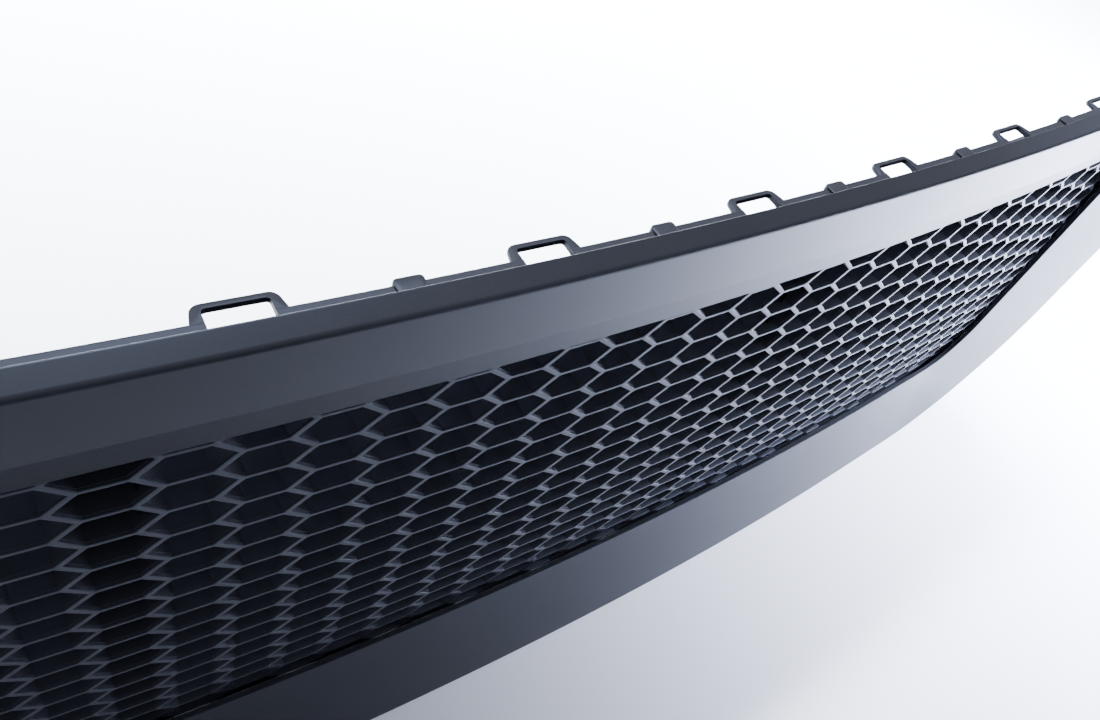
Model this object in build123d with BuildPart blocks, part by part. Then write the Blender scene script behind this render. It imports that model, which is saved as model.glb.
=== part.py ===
# Front grille of a car: a moulded surround, a honeycomb insert behind it, and the carriers,
# stiffeners and fixings that hold the two together and hang them on the car.
#
# Frame: +X along the car's width, +Y towards the engine, +Z up. The origin is the centre hole
# of the lower flange, on its underside. Every length is in millimetres.
#
# The whole front is bowed in plan. "Distance" is walked along that bow from the centreline,
# "depth" is square to it (negative towards the road) and "height" is Z.
import math
import os

from build123d import *

# ---- overall sizes ----
overall_width = 1054.0
plan_radius = 2570.0  # bow of the front in plan
straight_end = 130.0  # flat stretch at each end of the bow
opening_height = 166.2  # clear height of the honeycomb
lower_band_height = 57.1  # also the width of both ends
wall = 2.5  # every moulded shell

# ---- upper band, from the lip of the opening upwards ----
lip_depth = -13.6
lip_rise = 12.7  # sloped return between the lip and the main face
main_foot_depth = -16.8
main_face_height = 21.8
main_top_depth = -18.1
shoulder_rise = 2.3
shoulder_depth = -12.2
main_foot_radius = 3.2
main_top_radius = 1.6

# ---- lower band and ends ----
chin_depth = -25.6  # front lower edge
chin_radius = 1.2
lower_flange_depth = 16.0  # rear edge of the lower flange
corner_radius = 87.0  # outside of the lower corners, seen from the front
rib_thickness = 1.8
rib_height = 30.0
rib_pitch = 45.0
rib_count = 9  # on each side of the centreline

# ---- honeycomb ----
cell_height = 11.0  # pitch of the walls in one column
column_pitch = 18.44
slant_run = 6.67  # sideways reach of one slanted wall
flat_wall = 1.1
slanted_wall = 1.7
first_wall_drop = 15.8  # first full wall below the lip
mesh_thickness = 18.4
crown_radius = 1173.0  # bow of the honeycomb from top to bottom
crown_height = 68.0  # its most forward point, above the opening's lower edge
crown_facets = 5
lip_gap = 0.2  # from the lip back to that point
rim = 2.5  # solid edge round the outermost cells
flange_width = 12.0
flange_thickness = 2.5
flange_corner = 14.0

# ---- carriers behind the surround ----
sheet = 1.8
bend_radius = 2.2  # outside of a bend that turns round the sheet
crease_radius = 0.6  # outside of a bend that turns away from it
stack_depth = -10.2  # where the bosses end and the carriers begin
carrier_overlap = 1.0  # between a carrier's leg and the honeycomb's rim, in height
shelf_drop = 4.1  # top of the upper carrier below the surround's top edge
shelf_rear_depth = -7.0
shelf_front_depth = -14.7
joggle_gap = 1.7  # above the screw bosses, where the leg steps forward
joggle_rise = 3.0
carrier_end_gap = 3.0
end_plate_inset = 13.2
end_plate_gap = 0.5  # beside the honeycomb's rim
end_plate_clearance = 10.0  # above the lower corner, below the upper row of screws

# ---- catch loops on the upper carrier ----
loop_stations = (29, 102, 174, 238, 308, 380, 440)  # distances from the centreline
loop_base_width = 20.0
loop_tip_width = 17.6
loop_rear_depth = -1.9
loop_bar = 1.6
loop_hole_width = 14.0
loop_corner = 2.2
pad_width = 7.5
pad_length = 5.0
pad_rise = 0.8
pad_overhang = 1.2

# ---- screws ----
screw_radius = 2.0
screw_length = 9.0
screw_tip_length = 1.6
screw_tip_radius = 0.6
screw_head_radius = 4.0
screw_head_height = 2.4
screw_head_crown = 1.3
recess_length = 4.4
recess_width = 0.9
recess_depth = 1.2
screw_clearance = 0.25  # radial, in the sheets it passes through
screw_seat_gap = 0.005  # a flat head on the bowed flange touches at its sides only
pilot_clearance = 0.05  # radial, in the boss
pilot_depth_gap = 0.3  # beyond the screw's tip
boss_radius = 4.0
boss_cover = 1.1  # skin left over a boss
screw_row_offset = 6.8  # rows of screws, outside the honeycomb's rim
upper_screw_stations = (65, 138, 206, 273, 344, 410)
lower_screw_stations = (60, 150, 270, 350, 415)
end_screw_margin = 18.0  # in from the bottom and the top of the end plate

# ---- stiffeners ----
stiffener_station = 230.0
stiffener_width = 14.0
stiffener_gap = 0.3  # behind the honeycomb
stiffener_step = 0.7  # above and below it

# ---- lower fixing holes, with a metal sleeve in each ----
sleeve_station = 200.0  # the outer two, the third is on the centreline
sleeve_bore_radius = 3.3
sleeve_radius = 5.0
sleeve_clearance = 0.05
sleeve_rim_radius = 7.5
sleeve_rim_height = 1.0

# ---- end fixings ----
ear_height = 50.0
ear_centre_height = 140.0
ear_depth = 22.0
ear_inset = 15.0  # the ear's upright, inside the surround's end
ear_overhang = 10.0  # the ear's plate, outside the surround's end
ear_hole_radius = 4.5
ear_fixing_inset = 1.0
ear_fixing_offset = 11.0  # nut above and pin below the ear's centre
pin_radius = 3.0
pin_length = 12.0
pin_chamfer = 1.0
nut_sheet = 1.0
nut_width = 16.0
nut_length = 22.0
nut_slot_radius = 3.3
nut_thread_radius = 2.5
nut_collar_radius = 4.0
nut_collar_length = 4.0
washer_radius = 7.0
washer_thickness = 3.0
washer_clearance = 1.0
foam_width = 6.0
foam_height = 5.0
foam_edge_gap = 1.5

# ---- worked out from the sizes above ----
half_width = overall_width / 2
opening_bottom = lower_band_height
opening_top = opening_bottom + opening_height
main_foot = opening_top + lip_rise
main_top = main_foot + main_face_height
top_edge = main_top + shoulder_rise
shelf_top = top_edge - shelf_drop
opening_half_width = half_width - lower_band_height
first_wall = opening_top - first_wall_drop
crown_front = lip_depth + wall + lip_gap
crown_middle = opening_bottom + crown_height
mesh_back = crown_front + mesh_thickness
leg_back = stack_depth + sheet
flange_back = leg_back + flange_thickness
carrier_reach = opening_half_width - carrier_end_gap

os.makedirs("parts", exist_ok=True)


# ---- the bow in plan ----
def plan_run(reach, whole=False):
    """The bow at depth 0 and height 0: its right half out to the given X, or both halves."""
    turn = math.asin((half_width - straight_end) / plan_radius)
    along = Vector(math.cos(turn), math.sin(turn))
    bend = Vector(plan_radius * math.sin(turn), plan_radius * (1 - math.cos(turn)))
    tip = bend + along * ((reach - bend.X) / along.X)
    degrees = math.degrees(turn)
    with BuildLine() as run:
        if whole:
            Line((-tip.X, tip.Y), (-bend.X, bend.Y))
            CenterArc((0, plan_radius), plan_radius, -90 - degrees, 2 * degrees)
        else:
            CenterArc((0, plan_radius), plan_radius, -90, degrees)
        Line(bend, tip)
    return run.wire()


full_run = plan_run(half_width)
full_distance = full_run.length


def station(distance, depth=0.0, height=0.0, facing="back"):
    """Plane on the bow. Its x runs along the grille, its z back, up, or along the grille."""
    foot = full_run.position_at(abs(distance), position_mode=PositionMode.LENGTH)
    along = full_run.tangent_at(abs(distance), position_mode=PositionMode.LENGTH)
    if distance < 0:
        foot = Vector(-foot.X, foot.Y)
        along = Vector(along.X, -along.Y)
    back = Vector(-along.Y, along.X)
    origin = foot + back * depth + Vector(0, 0, height)
    if facing == "along":
        return Plane(origin=origin, x_dir=back, z_dir=along)
    return Plane(origin=origin, x_dir=along, z_dir=back if facing == "back" else (0, 0, 1))


def both_sides(distances):
    return [side * d for d in distances for side in ((-1, 1) if d else (1,))]


def shell_profile(points, radii, thickness, plane=Plane.YZ):
    """Section of a shell, as depth and height, from the outer skin inwards."""
    with BuildSketch(plane) as profile:
        with BuildLine():
            FilletPolyline(*points, radius=radii)
            offset(amount=thickness, side=Side.LEFT)
        make_face()
    return profile.sketch


def finish(name, builder):
    builder.part.label = name
    export_step(builder.part, f"parts/{name}.step")
    print(name, len(builder.part.solids()), "solids")


# ---- honeycomb layout ----
def cell_centres():
    """Every cell that shows in the opening, as X and height."""
    half_cell = (column_pitch + slant_run) / 2
    columns = math.floor((opening_half_width + half_cell) / column_pitch)
    found = []
    for column in range(-columns, columns + 1):
        offset_up = cell_height * (0.5 if column % 2 == 0 else 1.0)
        highest = math.ceil((opening_top - first_wall - offset_up - cell_height / 2) / cell_height)
        height = first_wall + offset_up + highest * cell_height
        while height + cell_height / 2 > opening_bottom:
            if height - cell_height / 2 < opening_top:
                found.append((column * column_pitch, height))
            height -= cell_height
    return found


def cell_outline():
    """Clear outline of one cell: a long hexagon, set in by half of each wall."""
    half_height = cell_height / 2
    half_length = (column_pitch + slant_run) / 2
    top = half_height - flat_wall / 2
    tip = half_length - slanted_wall / 2 * math.hypot(half_height, slant_run) / half_height
    side = tip - slant_run * top / half_height
    return [(tip, 0), (side, top), (-side, top), (-tip, 0), (-side, -top), (side, -top)]


def crown_depth(height):
    """Depth of the honeycomb's front face at a height."""
    return crown_front + crown_radius - math.sqrt(crown_radius**2 - (height - crown_middle) ** 2)


centres = cell_centres()
core_half_width = max(x for x, _ in centres) + (column_pitch + slant_run) / 2 + rim
core_top = max(z for _, z in centres) + cell_height / 2 + rim
core_bottom = min(z for _, z in centres) - cell_height / 2 - rim

# ---- where the screws go, as distance and height ----
upper_row = core_top + screw_row_offset
lower_row = core_bottom - screw_row_offset
end_row = full_distance - (half_width - core_half_width - screw_row_offset)
end_plate_bottom = corner_radius + end_plate_clearance
end_plate_top = upper_row - end_plate_clearance
end_screw_bottom = end_plate_bottom + end_screw_margin
end_screw_top = end_plate_top - end_screw_margin
end_screw_heights = (end_screw_bottom, (end_screw_bottom + end_screw_top) / 2, end_screw_top)
upper_spots = [(d, upper_row) for d in both_sides(upper_screw_stations)]
lower_spots = [(d, lower_row) for d in both_sides(lower_screw_stations)]
left_spots = [(-end_row, z) for z in end_screw_heights]
right_spots = [(end_row, z) for z in end_screw_heights]
stiffener_distances = both_sides((0, stiffener_station))
upper_foot_spots = [(d, upper_row) for d in stiffener_distances]
lower_foot_spots = [(d, lower_row) for d in stiffener_distances]


def clearance_holes(spots):
    """Holes for the screws, through every sheet between the screws' heads and the bosses."""
    for distance, height in spots:
        with BuildSketch(station(distance, flange_back + sheet, height)) as hole:
            Circle(screw_radius + screw_clearance)
        extrude(hole.sketch, amount=stack_depth - flange_back - 2 * sheet, mode=Mode.SUBTRACT)


# ---- surround ----
def band_depth(inset):
    """Outer skin of the lower band and the ends, by the distance in from their outer edge."""
    return chin_depth + (lip_depth - chin_depth) * inset / lower_band_height


def bosses(spots, skin_depth):
    """Screw bosses, from the carriers forward into the shell, with their pilot holes."""
    root = skin_depth + boss_cover
    for distance, height in spots:
        with BuildSketch(station(distance, stack_depth, height)) as boss:
            Circle(boss_radius)
        extrude(boss.sketch, amount=root - stack_depth)
    tip = max(flange_back - screw_length - pilot_depth_gap, root)
    for distance, height in spots:
        with BuildSketch(station(distance, stack_depth, height)) as pilot:
            Circle(screw_radius + pilot_clearance)
        extrude(pilot.sketch, amount=tip - stack_depth, mode=Mode.SUBTRACT)


upper_profile = shell_profile(
    [
        (shoulder_depth, top_edge),
        (main_top_depth, main_top),
        (main_foot_depth, main_foot),
        (lip_depth, opening_top),
    ],
    [main_top_radius, main_foot_radius],
    wall,
)
lower_profile = shell_profile(
    [(lip_depth, opening_bottom), (chin_depth, 0), (lower_flange_depth, 0)], [chin_radius], wall
)

# the lower band's path: along the bow, round the corner and up the end
end_direction = full_run % 1
lower_run = plan_run(half_width - corner_radius * end_direction.X)
corner_start = lower_run @ 1
up = Vector(0, 0, 1)
diagonal = corner_radius * math.sin(math.pi / 4)
with BuildLine() as ring_run:
    add(lower_run)
    bend = ThreePointArc(
        corner_start,
        corner_start + end_direction * diagonal + up * (corner_radius - diagonal),
        corner_start + end_direction * corner_radius + up * corner_radius,
    )
    Line(bend @ 1, bend @ 1 + up * (top_edge - corner_radius))

with BuildPart() as surround:
    add(upper_profile)
    sweep(path=full_run)
    add(lower_profile)
    sweep(path=ring_run.wire())
    # closes the top of the end
    with BuildSketch(station(full_distance, height=top_edge, facing="up")):
        with BuildLine():
            Polyline(
                (0, chin_depth),
                (-lower_band_height, lip_depth),
                (-lower_band_height, lip_depth + wall),
                (-wall, lower_flange_depth),
                (0, lower_flange_depth),
                close=True,
            )
        make_face()
    extrude(amount=-wall)
    mirror(about=Plane.YZ)
    # ribs between the lower band and its flange
    for distance in both_sides([rib_pitch * (i + 0.5) for i in range(rib_count)]):
        with BuildSketch(station(distance, facing="along")):
            with BuildLine():
                Polyline(
                    (band_depth(0) + wall, wall / 2),
                    (band_depth(rib_height) + wall / 2, rib_height),
                    (stack_depth - sheet, rib_height / 4),
                    (stack_depth - sheet, wall / 2),
                    close=True,
                )
            make_face()
        extrude(amount=rib_thickness / 2, both=True)
    bosses(upper_spots + upper_foot_spots, main_foot_depth)
    bosses(lower_spots + lower_foot_spots, band_depth(lower_row))
    bosses(left_spots + right_spots, band_depth(full_distance - end_row))
    # holes for the sleeves
    for distance in both_sides((0, sleeve_station)):
        with BuildSketch(station(distance, facing="up")):
            Circle(sleeve_radius + sleeve_clearance)
        extrude(amount=wall, mode=Mode.SUBTRACT)
finish("surround", surround)

# ---- honeycomb insert ----
with BuildPart() as mesh_insert:
    # thin flange behind the surround
    with BuildSketch(Plane.YZ):
        with Locations((leg_back, (core_top + core_bottom) / 2)):
            Rectangle(
                flange_thickness,
                core_top - core_bottom + 2 * flange_width,
                align=(Align.MIN, Align.CENTER),
            )
    sweep(path=plan_run(core_half_width + flange_width))
    mirror(about=Plane.YZ)
    corners = [e for e in edges() if abs(e.length - flange_thickness) < 0.01]
    fillet([e for e in corners if abs(e.center().X) > core_half_width], flange_corner)
    clearance_holes(upper_spots + lower_spots + left_spots + right_spots)
    clearance_holes(upper_foot_spots + lower_foot_spots)
    # the crowned block that the cells are cut from, its crown in straight facets
    facet_height = (core_top - core_bottom) / crown_facets
    crown_steps = [core_bottom + facet_height * i for i in range(crown_facets + 1)]
    core_run = plan_run(core_half_width, whole=True)
    with BuildSketch(station(-core_run.length / 2, facing="along")) as core_profile:
        with BuildLine():
            Polyline(
                *[(crown_depth(height), height) for height in crown_steps],
                (mesh_back, core_top),
                (mesh_back, core_bottom),
                close=True,
            )
        make_face()
    sweep(sections=core_profile.sketch, path=core_run)
    # the cells, cut straight back
    with BuildSketch(Plane.XZ.offset(-chin_depth)):
        with Locations(*centres):
            Polygon(*cell_outline())
    extrude(amount=chin_depth - mesh_back - (core_run @ 1).Y, mode=Mode.SUBTRACT)
finish("mesh_insert", mesh_insert)


# ---- upper carrier, with the catch loops ----
loop_hole_front = shelf_front_depth + sheet
loop_hole_rear = loop_rear_depth - loop_bar
pad_stations = [(a + b) / 2 for a, b in zip(loop_stations, loop_stations[1:])]
joggle_top = upper_row + boss_radius + joggle_gap + joggle_rise

with BuildPart() as upper_carrier:
    add(
        shell_profile(
            [
                (shelf_rear_depth, shelf_top),
                (shelf_front_depth, shelf_top),
                (shelf_front_depth, joggle_top),
                (stack_depth, joggle_top - joggle_rise),
                (stack_depth, core_top - carrier_overlap),
            ],
            [bend_radius, bend_radius, crease_radius],
            sheet,
        )
    )
    sweep(path=plan_run(carrier_reach))
    mirror(about=Plane.YZ)
    for distance in both_sides(loop_stations):
        with BuildSketch(station(distance, height=shelf_top, facing="up")) as loop:
            with BuildLine():
                Polyline(
                    (-loop_base_width / 2, shelf_rear_depth - sheet),
                    (-loop_base_width / 2, shelf_rear_depth),
                    (-loop_tip_width / 2, loop_rear_depth),
                    (loop_tip_width / 2, loop_rear_depth),
                    (loop_base_width / 2, shelf_rear_depth),
                    (loop_base_width / 2, shelf_rear_depth - sheet),
                    close=True,
                )
            make_face()
            fillet(loop.vertices().sort_by(Axis.Y)[-2:], loop_corner)
        extrude(amount=-sheet)
        with BuildSketch(station(distance, height=shelf_top, facing="up")):
            with Locations((0, (loop_hole_front + loop_hole_rear) / 2)):
                Rectangle(loop_hole_width, loop_hole_rear - loop_hole_front)
        extrude(amount=-sheet, mode=Mode.SUBTRACT)
    for distance in both_sides(pad_stations):
        with BuildSketch(station(distance, height=shelf_top + pad_rise, facing="up")):
            with Locations((0, shelf_rear_depth + pad_overhang - pad_length / 2)):
                RectangleRounded(pad_width, pad_length, 0.8)
        extrude(amount=-(pad_rise + sheet))
    clearance_holes(upper_spots + upper_foot_spots)
finish("upper_carrier", upper_carrier)

# ---- lower carrier ----
with BuildPart() as lower_carrier:
    add(
        shell_profile(
            [
                (stack_depth, core_bottom - carrier_overlap),
                (stack_depth, wall),
                (lower_flange_depth, wall),
            ],
            [bend_radius],
            sheet,
        )
    )
    sweep(path=plan_run(half_width - corner_radius - carrier_end_gap))
    mirror(about=Plane.YZ)
    for distance in both_sides((0, sleeve_station)):
        with BuildSketch(station(distance, height=wall, facing="up")):
            Circle(sleeve_radius + sleeve_clearance)
        extrude(amount=sheet, mode=Mode.SUBTRACT)
    clearance_holes(lower_spots + lower_foot_spots)
finish("lower_carrier", lower_carrier)

# ---- end carriers: plate, ear and locating pin ----
ear_bottom = ear_centre_height - ear_height / 2
nut_height = ear_centre_height + ear_fixing_offset
pin_height = ear_centre_height - ear_fixing_offset
fixing_distance = full_distance - ear_fixing_inset
end_plate_width = half_width - core_half_width - end_plate_gap - end_plate_inset

with BuildPart() as right_end_carrier:
    with BuildSketch(station(full_distance, height=end_plate_bottom, facing="up")):
        with Locations((-end_plate_inset, stack_depth)):
            Rectangle(end_plate_width, sheet, align=(Align.MAX, Align.MIN))
    extrude(amount=end_plate_top - end_plate_bottom)
    with BuildSketch(station(full_distance, height=ear_bottom, facing="up")):
        with Locations((-ear_inset, stack_depth)):
            Rectangle(sheet, ear_depth - stack_depth, align=(Align.MIN, Align.MIN))
        with Locations((-ear_inset, ear_depth)):
            Rectangle(ear_inset + ear_overhang, sheet, align=(Align.MIN, Align.MAX))
    extrude(amount=ear_height)
    with BuildSketch(station(fixing_distance, ear_depth, nut_height)):
        Circle(ear_hole_radius)
    extrude(amount=-sheet, mode=Mode.SUBTRACT)
    with BuildSketch(station(fixing_distance, ear_depth - sheet, pin_height)):
        Circle(pin_radius)
    extrude(amount=pin_length + sheet)
    pin_end = edges().filter_by(GeomType.CIRCLE).sort_by(Axis.Y)[-1]
    chamfer(pin_end, pin_chamfer)
    clearance_holes(right_spots)
finish("right_end_carrier", right_end_carrier)

# ---- sheet-metal nut clipped over each ear ----
with BuildPart() as right_u_nut:
    front_leaf = ear_depth - sheet - nut_sheet
    with BuildSketch(station(full_distance, height=nut_height - nut_width / 2, facing="up")):
        with Locations((ear_overhang + nut_sheet, front_leaf)):
            Rectangle(nut_length + nut_sheet, sheet + 2 * nut_sheet, align=(Align.MAX, Align.MIN))
        with Locations((ear_overhang, ear_depth)):
            Rectangle(nut_length, sheet, align=(Align.MAX, Align.MAX), mode=Mode.SUBTRACT)
    extrude(amount=nut_width)
    with BuildSketch(station(fixing_distance, ear_depth + nut_sheet, nut_height)):
        Circle(nut_collar_radius)
    extrude(amount=nut_collar_length)
    with BuildSketch(station(fixing_distance, ear_depth, nut_height)):
        Circle(nut_thread_radius)
    extrude(amount=nut_sheet + nut_collar_length, mode=Mode.SUBTRACT)
    with BuildSketch(station(fixing_distance, front_leaf, nut_height)):
        Circle(nut_slot_radius)
    extrude(amount=nut_sheet, mode=Mode.SUBTRACT)
finish("right_u_nut", right_u_nut)

# ---- foam washer on each locating pin ----
with BuildPart() as right_pin_washer:
    with BuildSketch(station(fixing_distance, ear_depth, pin_height)):
        Circle(washer_radius)
        Circle(pin_radius + washer_clearance, mode=Mode.SUBTRACT)
    extrude(amount=washer_thickness)
finish("right_pin_washer", right_pin_washer)


# ---- stiffeners behind the honeycomb ----
def stiffener(distance):
    strip_profile = shell_profile(
        [
            (flange_back, core_top + flange_width),
            (flange_back, core_top + stiffener_step),
            (mesh_back + stiffener_gap, core_top + stiffener_step),
            (mesh_back + stiffener_gap, core_bottom - stiffener_step),
            (flange_back, core_bottom - stiffener_step),
            (flange_back, core_bottom - flange_width),
        ],
        [bend_radius, crease_radius, crease_radius, bend_radius],
        sheet,
        station(distance, facing="along"),
    )
    with BuildPart() as strip:
        extrude(strip_profile, amount=stiffener_width / 2, both=True)
        clearance_holes([(distance, upper_row), (distance, lower_row)])
    return strip


finish("centre_stiffener", stiffener(0))
finish("left_stiffener", stiffener(-stiffener_station))
finish("right_stiffener", stiffener(stiffener_station))

# ---- self-tapping screw, head up, origin under the head ----
with BuildPart() as self_tapper:
    with BuildSketch(Plane.XZ):
        with BuildLine():
            Polyline(
                (0, -screw_length),
                (screw_tip_radius, -screw_length),
                (screw_radius, screw_tip_length - screw_length),
                (screw_radius, 0),
                (screw_head_radius, 0),
                (screw_head_radius, screw_head_height - screw_head_crown),
                (screw_head_radius - screw_head_crown, screw_head_height),
                (0, screw_head_height),
                close=True,
            )
        make_face()
    revolve(axis=Axis.Z)
    with BuildSketch(Plane.XY.offset(screw_head_height)):
        Rectangle(recess_length, recess_width)
        Rectangle(recess_width, recess_length)
    extrude(amount=-recess_depth, mode=Mode.SUBTRACT)


def screw_group(name, spots, depth):
    """Identical screws as separate solids in one piece."""
    with BuildPart() as group:
        with Locations(*[station(distance, depth, height) for distance, height in spots]):
            add(self_tapper.part)
    finish(name, group)


screw_group("upper_screws", upper_spots, flange_back + screw_seat_gap)
screw_group("lower_screws", lower_spots, flange_back + screw_seat_gap)
screw_group("left_end_screws", left_spots, flange_back + screw_seat_gap)
screw_group("right_end_screws", right_spots, flange_back + screw_seat_gap)
screw_group("stiffener_screws", upper_foot_spots + lower_foot_spots, flange_back + sheet)

# ---- metal sleeves in the lower fixing holes ----
with BuildPart() as lower_sleeves:
    for distance in both_sides((0, sleeve_station)):
        with BuildSketch(station(distance, facing="up")):
            Circle(sleeve_radius)
        extrude(amount=wall + sheet)
        with BuildSketch(station(distance, height=wall + sheet, facing="up")):
            Circle(sleeve_rim_radius)
        extrude(amount=sleeve_rim_height)
        with BuildSketch(station(distance, facing="up")):
            Circle(sleeve_bore_radius)
        extrude(amount=wall + sheet + sleeve_rim_height, mode=Mode.SUBTRACT)
finish("lower_sleeves", lower_sleeves)

# ---- foam seal along the lower carrier ----
with BuildPart() as lower_foam:
    with BuildSketch(Plane.YZ):
        with Locations((lower_flange_depth - foam_edge_gap, wall + sheet)):
            Rectangle(foam_width, foam_height, align=(Align.MAX, Align.MIN))
    sweep(path=plan_run(half_width - corner_radius - 2 * carrier_end_gap))
    mirror(about=Plane.YZ)
finish("lower_foam", lower_foam)

# ---- left-hand pieces ----
for name, right_hand in (
    ("left_end_carrier", right_end_carrier),
    ("left_u_nut", right_u_nut),
    ("left_pin_washer", right_pin_washer),
):
    with BuildPart() as left_hand:
        add(right_hand.part)
        mirror(about=Plane.YZ, mode=Mode.REPLACE)
    finish(name, left_hand)
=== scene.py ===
import math
import bmesh
import bpy
from mathutils import Matrix, Vector


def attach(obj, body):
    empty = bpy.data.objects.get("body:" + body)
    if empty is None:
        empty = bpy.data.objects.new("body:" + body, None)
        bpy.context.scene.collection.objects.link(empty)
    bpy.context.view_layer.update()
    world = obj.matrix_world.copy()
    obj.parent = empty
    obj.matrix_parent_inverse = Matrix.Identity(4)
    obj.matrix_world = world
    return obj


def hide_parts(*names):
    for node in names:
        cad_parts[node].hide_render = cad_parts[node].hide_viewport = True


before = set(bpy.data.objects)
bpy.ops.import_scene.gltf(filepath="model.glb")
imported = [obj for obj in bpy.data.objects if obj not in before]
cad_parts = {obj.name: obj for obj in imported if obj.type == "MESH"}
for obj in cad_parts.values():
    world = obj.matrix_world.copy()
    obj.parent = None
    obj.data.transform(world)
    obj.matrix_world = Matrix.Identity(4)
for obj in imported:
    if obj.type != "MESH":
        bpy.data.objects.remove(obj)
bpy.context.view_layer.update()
print("frame loaded:", len(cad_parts), "nodes")

mm = 0.001
body = "root"

# everything is bowed in plan: distance runs along the bow, depth is square to it, height is Z
bow = {"radius": 2.570, "halfWidth": 0.527, "straightEnd": 0.130}
bow["turn"] = math.asin((bow["halfWidth"] - bow["straightEnd"]) / bow["radius"])
bow["arcLength"] = bow["radius"] * bow["turn"]
bow["length"] = bow["arcLength"] + bow["straightEnd"] / math.cos(bow["turn"])


def bowAt(distance):  # foot on the bow and the turn about Z there
    side = -1 if distance < 0 else 1
    turn = min(abs(distance), bow["arcLength"]) / bow["radius"]
    past = max(abs(distance) - bow["arcLength"], 0)
    x = bow["radius"] * math.sin(turn) + past * math.cos(turn)
    y = bow["radius"] * (1 - math.cos(turn)) + past * math.sin(turn)
    return Vector((side * x, y, 0)), side * turn


def placeOnBow(distance, depth=0.0, height=0.0):
    foot, turn = bowAt(distance)
    back = Vector((-math.sin(turn), math.cos(turn), 0))
    return foot + back * depth + Vector((0, 0, height))


def mirrored(distances):
    return [side * d for d in distances for side in ((-1, 1) if d else (1,))]


# an outline is a list of (across, up) in metres
def roundOff(corners, radii, steps=4, guard=0.25 * mm):  # turns each corner into an arc
    outline = []
    for i, point in enumerate(corners):
        towardsLast = corners[i - 1] - point
        towardsNext = corners[(i + 1) % len(corners)] - point
        reach = 0.45 * min(towardsLast.length, towardsNext.length)
        half = towardsLast.angle(towardsNext) / 2
        cut = min(radii[i] / math.tan(half), reach)
        radius = cut * math.tan(half)
        if radius < 0.02 * mm or half > 1.55:
            outline.append(point)
            continue
        a = towardsLast.normalized()
        b = towardsNext.normalized()
        middle = point + (a + b).normalized() * radius / math.sin(half)
        start = point + a * cut - middle
        end = point + b * cut - middle
        swing = math.atan2(start.x * end.y - start.y * end.x, start.dot(end))
        outline.append(point + a * min(cut + guard, towardsLast.length / 2))
        for k in range(steps + 1):
            outline.append(middle + Matrix.Rotation(swing * k / steps, 2) @ start)
        outline.append(point + b * min(cut + guard, towardsNext.length / 2))
    return outline


def sheetOutline(walk, radii, thickness, edge=0.3 * mm):  # its inside is left of the walk
    walk = [Vector(p) for p in walk]
    legs = [(b - a).normalized() for a, b in zip(walk, walk[1:])]
    normals = [Vector((-leg.y, leg.x)) for leg in legs]
    inner = [walk[0] + normals[0] * thickness]
    innerRadii = [edge]
    for i in range(1, len(walk) - 1):
        n, m = normals[i - 1], normals[i]
        inner.append(walk[i] + (n + m) * thickness / (1 + n.dot(m)))
        turnsLeft = legs[i - 1].x * legs[i].y - legs[i - 1].y * legs[i].x > 0
        innerRadii.append(max(radii[i - 1] + (-thickness if turnsLeft else thickness), edge))
    inner.append(walk[-1] + normals[-1] * thickness)
    innerRadii.append(edge)
    return roundOff(walk + inner[::-1], [edge] + list(radii) + [edge] + innerRadii[::-1])


def rectangle(width, height, radius=0.4 * mm, centre=(0, 0), steps=3):
    x, y = width / 2, height / 2
    signs = ((-1, -1), (1, -1), (1, 1), (-1, 1))
    corners = [Vector((sx * x + centre[0], sy * y + centre[1])) for sx, sy in signs]
    return roundOff(corners, [radius] * 4, steps)


def finishMesh(builder, name, smoothBelow=35):
    bmesh.ops.remove_doubles(builder, verts=builder.verts, dist=0.002 * mm)
    bmesh.ops.recalc_face_normals(builder, faces=builder.faces)
    mesh = bpy.data.meshes.new(name)
    builder.to_mesh(mesh)
    builder.free()
    mesh.shade_smooth()
    mesh.set_sharp_from_angle(angle=math.radians(smoothBelow))
    piece = bpy.data.objects.new(name, mesh)
    bpy.context.scene.collection.objects.link(piece)
    return piece


def loftRows(builder, rows, capped=True):  # rows of points, each a closed loop
    loops = [[builder.verts.new(p) for p in row] for row in rows]
    for a, b in zip(loops, loops[1:]):
        for i in range(len(a)):
            j = (i + 1) % len(a)
            builder.faces.new((a[i], a[j], b[j], b[i]))
    if capped:
        caps = [builder.faces.new(loops[0]), builder.faces.new(loops[-1][::-1])]
        bmesh.ops.triangulate(builder, faces=caps)


def sweep(name, outline, path):  # path: places with their back and rise directions
    builder = bmesh.new()
    loftRows(builder, [[spot + back * p.x + rise * p.y for p in outline] for spot, back, rise in path])
    return finishMesh(builder, name)


def spin(builder, profile, place, axis, segments=24):  # profile: (radius, along)
    axis = axis.normalized()
    side = axis.orthogonal().normalized()
    other = axis.cross(side)
    rows = []
    for k in range(segments):
        swing = 2 * math.pi * k / segments
        ray = side * math.cos(swing) + other * math.sin(swing)
        rows.append([builder.verts.new(place + ray * max(p.x, 0) + axis * p.y) for p in profile])
    for k, row in enumerate(rows):
        follower = rows[(k + 1) % segments]
        for i in range(len(row)):
            j = (i + 1) % len(row)
            if profile[i].x <= 0 and profile[j].x <= 0:
                continue
            builder.faces.new((row[i], row[j], follower[j], follower[i]))


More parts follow.
